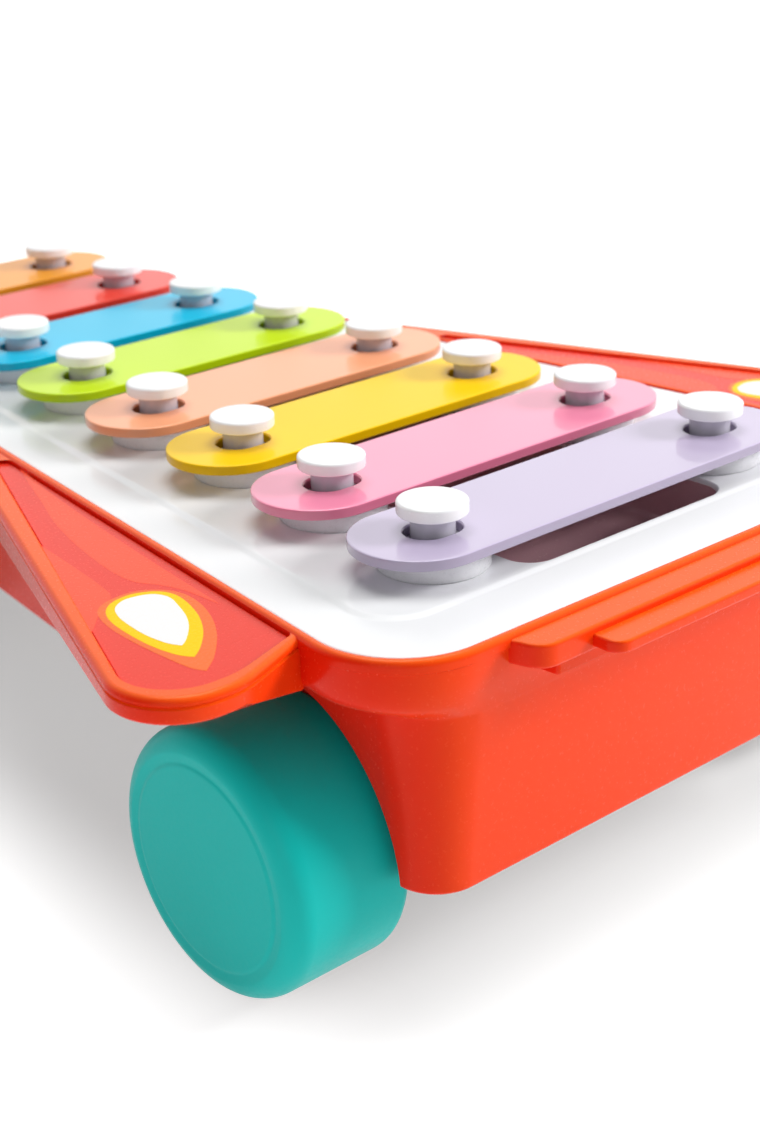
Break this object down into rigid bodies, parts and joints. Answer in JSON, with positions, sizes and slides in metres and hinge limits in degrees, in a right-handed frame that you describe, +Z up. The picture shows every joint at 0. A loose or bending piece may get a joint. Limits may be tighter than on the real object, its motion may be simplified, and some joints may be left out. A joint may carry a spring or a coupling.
{
  "type": "xylophone",
  "caption": "Toy xylophone on wheels: tapered moulded casing with side fins, a deck carrying graduated colour-coded metal bars held by capped pegs.",
  "frame": {"origin": "on the floor, below the centre of the bounding box, at rest on its wheels", "axes": "+Z up, +Y from the wide end towards the narrow end, +X to the right when the wide end faces the viewer, along the bars"},
  "size_m": [0.2068, 0.2848, 0.0821],
  "materials": {
    "casing": "satin moulded plastic, orange-red",
    "deck": "glossy white moulded plastic",
    "bar_c_low": "gloss enamel, lavender",
    "bar_d": "gloss enamel, pink",
    "bar_e": "gloss enamel, yellow",
    "bar_f": "gloss enamel, peach",
    "bar_g": "gloss enamel, lime green",
    "bar_a": "gloss enamel, sky blue",
    "bar_b": "gloss enamel, red",
    "bar_c_high": "gloss enamel, orange",
    "pegs": "satin white",
    "rings": "soft white plastic",
    "panel": "printed, coral red with a flame-like drop",
    "base": "satin orange-red",
    "wheel": "satin teal",
    "axle": "bright drawn steel",
    "screw": "zinc plated"
  },
  "bodies": {
    "chassis": {"casing": "casing", "deck": "deck", "pegs_left": "pegs", "pegs_right": "pegs", "rings_left": "rings", "rings_right": "rings", "peg_screws_left": "screw", "peg_screws_right": "screw", "panel_left": "panel", "panel_right": "panel", "base": "base", "base_screws": "screw"},
    "body_bar_c_low": {"bar_c_low": "bar_c_low"},
    "body_bar_d": {"bar_d": "bar_d"},
    "body_bar_e": {"bar_e": "bar_e"},
    "body_bar_f": {"bar_f": "bar_f"},
    "body_bar_g": {"bar_g": "bar_g"},
    "body_bar_a": {"bar_a": "bar_a"},
    "body_bar_b": {"bar_b": "bar_b"},
    "body_bar_c_high": {"bar_c_high": "bar_c_high"},
    "front_wheels": {"axle_front": "axle", "wheel_front_left": "wheel", "wheel_front_right": "wheel"},
    "rear_wheels": {"axle_rear": "axle", "wheel_rear_left": "wheel", "wheel_rear_right": "wheel"}
  },
  "joints": [
    {"name": "bar_c_low_lift", "type": "slide", "parent": "chassis", "child": "body_bar_c_low", "axis": [0, 0, 1], "range_m": [0, 0.003]},
    {"name": "bar_d_lift", "type": "slide", "parent": "chassis", "child": "body_bar_d", "axis": [0, 0, 1], "range_m": [0, 0.003]},
    {"name": "bar_e_lift", "type": "slide", "parent": "chassis", "child": "body_bar_e", "axis": [0, 0, 1], "range_m": [0, 0.003]},
    {"name": "bar_f_lift", "type": "slide", "parent": "chassis", "child": "body_bar_f", "axis": [0, 0, 1], "range_m": [0, 0.003]},
    {"name": "bar_g_lift", "type": "slide", "parent": "chassis", "child": "body_bar_g", "axis": [0, 0, 1], "range_m": [0, 0.003]},
    {"name": "bar_a_lift", "type": "slide", "parent": "chassis", "child": "body_bar_a", "axis": [0, 0, 1], "range_m": [0, 0.003]},
    {"name": "bar_b_lift", "type": "slide", "parent": "chassis", "child": "body_bar_b", "axis": [0, 0, 1], "range_m": [0, 0.003]},
    {"name": "bar_c_high_lift", "type": "slide", "parent": "chassis", "child": "body_bar_c_high", "axis": [0, 0, 1], "range_m": [0, 0.003]},
    {"name": "front_axle_spin", "type": "hinge", "parent": "chassis", "child": "front_wheels", "pos_m": [0, -0.0916, 0.0249], "axis": [1, 0, 0], "continuous": true},
    {"name": "rear_axle_spin", "type": "hinge", "parent": "chassis", "child": "rear_wheels", "pos_m": [0, 0.0944, 0.0249], "axis": [1, 0, 0], "continuous": true}
  ]
}
